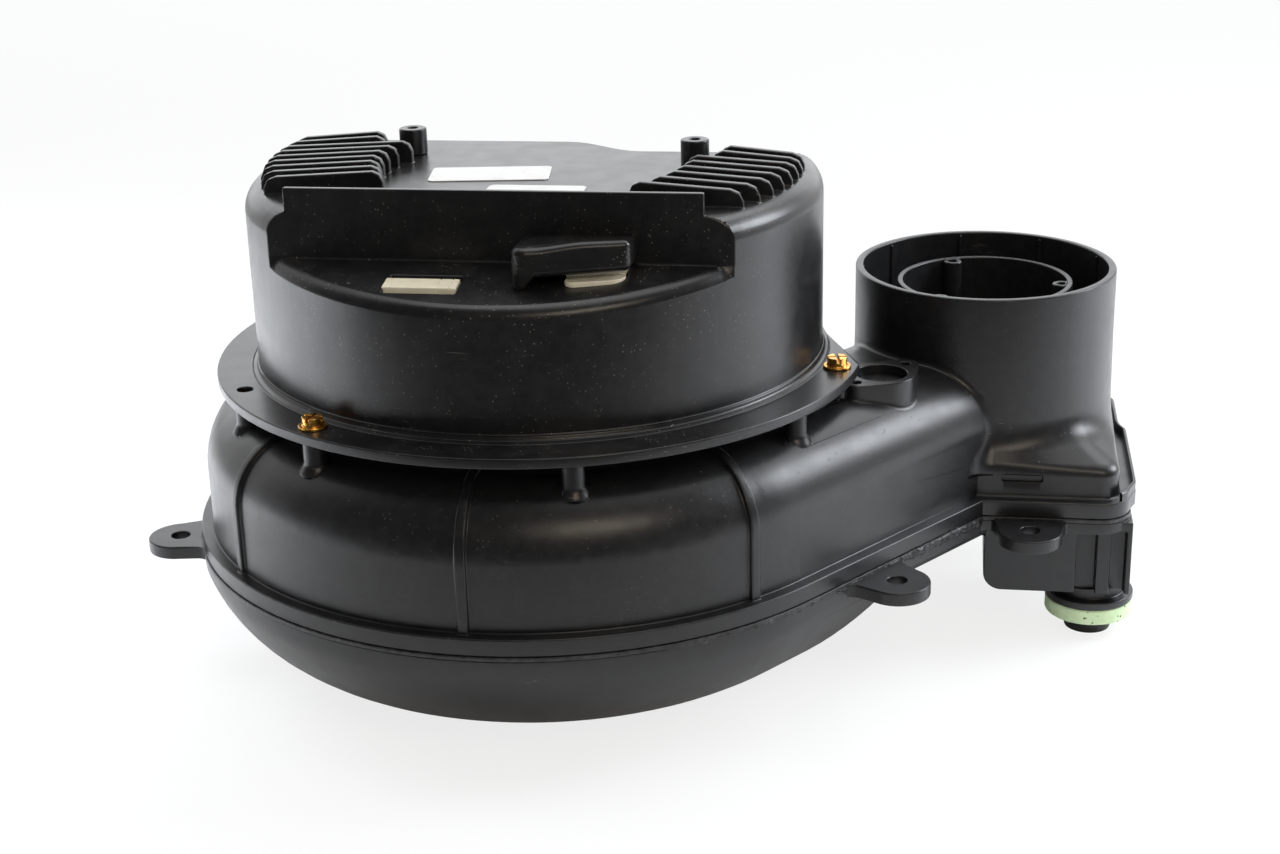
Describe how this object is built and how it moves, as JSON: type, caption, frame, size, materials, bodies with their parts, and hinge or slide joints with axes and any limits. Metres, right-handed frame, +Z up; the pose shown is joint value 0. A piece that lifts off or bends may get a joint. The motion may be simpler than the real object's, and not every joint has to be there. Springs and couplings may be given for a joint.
{
  "type": "combustion fan",
  "caption": "Black moulded combustion fan: finned motor cover on a scroll casing with a round outlet pipe, sensor port, mounting ears and a sealed condensate drain.",
  "frame": {"origin": "on the fan axis at the flat bottom of the lower casing half, the middle of the inlet", "axes": "+Z up along the fan axis, -Y towards the recess side of the motor cover, +X towards the outlet pipe"},
  "size_m": [0.2951, 0.2052, 0.1566],
  "materials": {
    "casing_black": "moulded satin black",
    "cover_black": "moulded semi-gloss black",
    "bead_black": "rough weld flash",
    "seal_green": "pale speckled foam",
    "inner_black": "moulded satin",
    "cast_alloy": "cast, fine turned",
    "yellow_zinc": "yellow zinc plated",
    "plain_steel": "zinc plated",
    "cream_plastic": "moulded",
    "label_white": "printed film, left blank",
    "board_green": "lacquered board",
    "can_dark": "sleeved can",
    "copper": "enamelled winding",
    "module_black": "moulded",
    "lamination": "stacked sheet",
    "drawn_steel": "drawn and zinc plated",
    "magnet": "sintered",
    "bearing_steel": "ground",
    "seal_brown": "moulded",
    "impeller_grey": "glass-filled moulding"
  },
  "bodies": {
    "casing": {"volute_upper": "casing_black", "outlet_box": "casing_black", "volute_lower": "casing_black", "seam_bead": "bead_black", "outlet_sleeve": "casing_black", "drain_seal": "seal_green", "inlet_ring": "inner_black", "motor_cover": "cover_black", "cover_posts": "cover_black", "motor_base": "cast_alloy", "cover_screws": "yellow_zinc", "base_screws": "plain_steel", "board_screws": "plain_steel", "connector_hood": "cover_black", "mains_connector": "cream_plastic", "signal_connector": "cream_plastic", "label_wide": "label_white", "label_narrow": "label_white", "control_board": "board_green", "bus_capacitors": "can_dark", "line_choke": "copper", "driver_module": "module_black", "stator_core": "lamination", "stator_coils": "copper", "lower_bearing_outer": "bearing_steel", "upper_bearing_outer": "bearing_steel", "shaft_seal": "seal_brown"},
    "rotor": {"rotor_bell": "drawn_steel", "magnet_ring": "magnet", "shaft": "bearing_steel", "lower_bearing_inner": "bearing_steel", "upper_bearing_inner": "bearing_steel", "impeller": "impeller_grey", "impeller_shroud": "impeller_grey", "impeller_washer": "plain_steel", "impeller_nut": "plain_steel"}
  },
  "joints": [
    {"name": "rotor_spin", "type": "hinge", "parent": "casing", "child": "rotor", "pos_m": [0, 0, 0.1], "axis": [0, 0, 1], "continuous": true}
  ]
}
